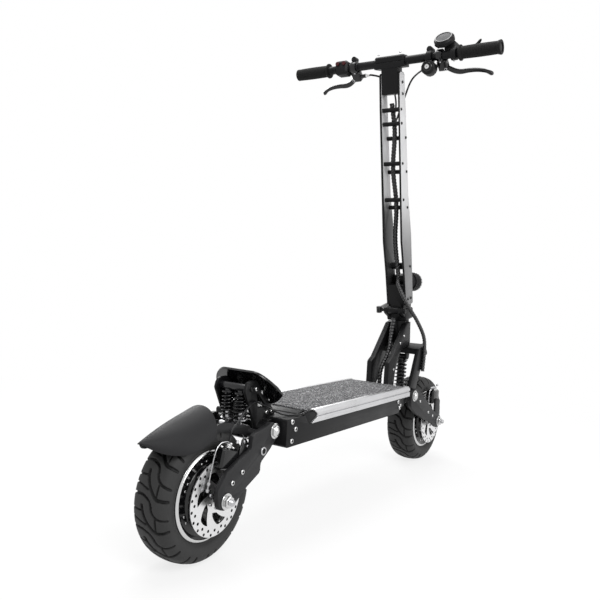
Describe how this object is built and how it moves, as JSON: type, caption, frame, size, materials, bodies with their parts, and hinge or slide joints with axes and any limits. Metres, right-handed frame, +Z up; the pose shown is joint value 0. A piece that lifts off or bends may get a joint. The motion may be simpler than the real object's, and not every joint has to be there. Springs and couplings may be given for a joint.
{
  "type": "electric kick scooter",
  "caption": "Stand-on electric kick scooter: sprung swing arms front and rear, hub-motor wheels, grip deck and a folding ladder stem with handlebar, levers and display.",
  "frame": {"origin": "on the ground under the middle of the overall length and width", "axes": "+X forward, +Y to the rider's left, +Z up"},
  "size_m": [1.2888, 0.6, 1.1945],
  "materials": {
    "black_frame": "satin black anodised",
    "black_paint": "gloss black",
    "black_plastic": "matte black",
    "fender_plastic": "matte dark grey",
    "rubber": "matte",
    "tyre": "matte",
    "grip_mat": "gritty",
    "silver": "brushed",
    "steel": "brushed",
    "bolt_steel": "polished",
    "red_plastic": "gloss",
    "battery_wrap": "shrink wrap",
    "alloy": "black anodised"
  },
  "bodies": {
    "deck": {"deck_tub": "alloy", "deck_cover": "alloy", "deck_mat": "grip_mat", "left_deck_rail": "silver", "right_deck_rail": "silver", "battery_pack": "battery_wrap", "motor_controller": "silver", "tail_frame": "alloy", "kicktail": "alloy", "rear_pivot_bolt": "bolt_steel", "neck_frame": "alloy", "steer_loop": "rubber", "rear_brake_cable": "rubber"},
    "kickstand_leg": {"kickstand": "alloy"},
    "fork_unit": {"fork": "alloy", "front_pivot_bolt": "bolt_steel", "front_fender": "fender_plastic", "fold_base": "alloy", "fold_loop": "rubber"},
    "latch": {"fold_latch": "alloy"},
    "stem": {"left_stem_plate": "alloy", "right_stem_plate": "alloy", "stem_foot": "alloy", "stem_head": "alloy", "handlebar": "alloy", "bar_clamp": "alloy", "headlight": "black_plastic", "left_grip": "rubber", "right_grip": "rubber", "switch_box": "black_plastic", "left_brake_perch": "alloy", "right_brake_perch": "alloy", "display_unit": "black_plastic", "key_lock": "black_plastic", "control_harness": "rubber"},
    "left_lever": {"left_brake_lever": "alloy"},
    "right_lever": {"right_brake_lever": "alloy"},
    "trigger": {"throttle_trigger": "black_plastic"},
    "horn": {"horn_button": "red_plastic"},
    "light_switch": {"light_button": "red_plastic"},
    "front_arm": {"front_swingarm": "alloy", "front_axle": "bolt_steel", "front_caliper": "alloy"},
    "front_wheel": {"front_tyre": "tyre", "front_hub_motor": "alloy", "front_rotor": "steel"},
    "front_damper": {"front_shock_body": "black_frame", "front_spring": "black_paint"},
    "front_rod": {"front_shock_rod": "steel"},
    "rear_arm": {"rear_swingarm": "alloy", "rear_axle": "bolt_steel", "rear_caliper": "alloy", "rear_fender": "fender_plastic"},
    "rear_wheel": {"rear_tyre": "tyre", "rear_hub_motor": "alloy", "rear_rotor": "steel"},
    "rear_damper": {"rear_shock_bodies": "black_frame", "left_rear_spring": "black_paint", "right_rear_spring": "black_paint"},
    "rear_rods": {"rear_shock_rods": "steel"}
  },
  "joints": [
    {"name": "kickstand_fold", "type": "hinge", "parent": "deck", "child": "kickstand_leg", "pos_m": [0.02525, 0.078, 0.187], "axis": [0, -1, 0], "range_deg": [0, 90]},
    {"name": "steering", "type": "hinge", "parent": "deck", "child": "fork_unit", "pos_m": [0.36125, 0, 0.469], "axis": [-0.1994, 0, 0.9799], "range_deg": [-35, 35], "deforming": ["steer_loop"]},
    {"name": "latch_swing", "type": "hinge", "parent": "fork_unit", "child": "latch", "pos_m": [0.32597, 0.0483, 0.46182], "axis": [-0.1994, 0, 0.9799], "range_deg": [0, 120]},
    {"name": "stem_fold", "type": "hinge", "parent": "fork_unit", "child": "stem", "pos_m": [0.32597, 0, 0.46182], "axis": [0, -1, 0], "range_deg": [0, 85], "deforming": ["fold_loop"]},
    {"name": "left_brake_pull", "type": "hinge", "parent": "stem", "child": "left_lever", "pos_m": [0.23861, 0.122, 1.11076], "axis": [0.7193, 0, 0.6947], "range_deg": [0, 16], "stiffness_Nm_per_rad": 0.8, "springref_deg": -17.19},
    {"name": "right_brake_pull", "type": "hinge", "parent": "stem", "child": "right_lever", "pos_m": [0.23861, -0.15, 1.11076], "axis": [-0.7193, 0, -0.6947], "range_deg": [0, 16], "stiffness_Nm_per_rad": 0.8, "springref_deg": -17.19},
    {"name": "throttle_pull", "type": "hinge", "parent": "stem", "child": "trigger", "pos_m": [0.24499, -0.167, 1.15722], "axis": [0, 0, -1], "range_deg": [0, 20], "stiffness_Nm_per_rad": 0.2, "springref_deg": -17.19},
    {"name": "horn_press", "type": "slide", "parent": "stem", "child": "horn", "axis": [1, 0, 0], "range_m": [0, 0.002], "stiffness_N_per_m": 400, "springref_m": -0.001},
    {"name": "light_press", "type": "slide", "parent": "stem", "child": "light_switch", "axis": [1, 0, 0], "range_m": [0, 0.002], "stiffness_N_per_m": 400, "springref_m": -0.001},
    {"name": "front_suspension", "type": "hinge", "parent": "fork_unit", "child": "front_arm", "pos_m": [0.32725, 0, 0.226], "axis": [0, -1, 0], "range_deg": [0, 9.17], "stiffness_Nm_per_rad": 150, "springref_deg": -14.32},
    {"name": "front_wheel_spin", "type": "hinge", "parent": "front_arm", "child": "front_wheel", "pos_m": [0.51725, 0, 0.1275], "axis": [0, 1, 0], "continuous": true},
    {"name": "front_shock_tilt", "type": "hinge", "parent": "fork_unit", "child": "front_damper", "pos_m": [0.39525, 0, 0.32596], "axis": [0, -1, 0], "range_deg": [-1, 2.5]},
    {"name": "front_shock_stroke", "type": "slide", "parent": "front_damper", "child": "front_rod", "axis": [0.0238, 0, 0.9997], "range_m": [0, 0.013], "deforming": ["front_spring"]},
    {"name": "rear_suspension", "type": "hinge", "parent": "deck", "child": "rear_arm", "pos_m": [-0.35275, 0, 0.234], "axis": [0, 1, 0], "range_deg": [0, 16.04], "stiffness_Nm_per_rad": 120, "springref_deg": -14.32, "deforming": ["rear_brake_cable"]},
    {"name": "rear_wheel_spin", "type": "hinge", "parent": "rear_arm", "child": "rear_wheel", "pos_m": [-0.49475, 0, 0.1275], "axis": [0, 1, 0], "continuous": true},
    {"name": "rear_shock_tilt", "type": "hinge", "parent": "deck", "child": "rear_damper", "pos_m": [-0.38875, 0, 0.316], "axis": [0, 1, 0], "range_deg": [-1, 1]},
    {"name": "rear_shock_stroke", "type": "slide", "parent": "rear_damper", "child": "rear_rods", "axis": [-0.0232, 0, 0.9997], "range_m": [0, 0.0115], "deforming": ["left_rear_spring", "right_rear_spring"]}
  ],
  "couplings": [
    {"joint": "front_shock_tilt", "follows": "front_suspension", "ratio": 0.16575},
    {"joint": "front_shock_stroke", "follows": "front_suspension", "m_per_rad": 0.067019},
    {"joint": "rear_shock_tilt", "follows": "rear_suspension", "ratio": -0.02058},
    {"joint": "rear_shock_stroke", "follows": "rear_suspension", "m_per_rad": 0.034082}
  ]
}
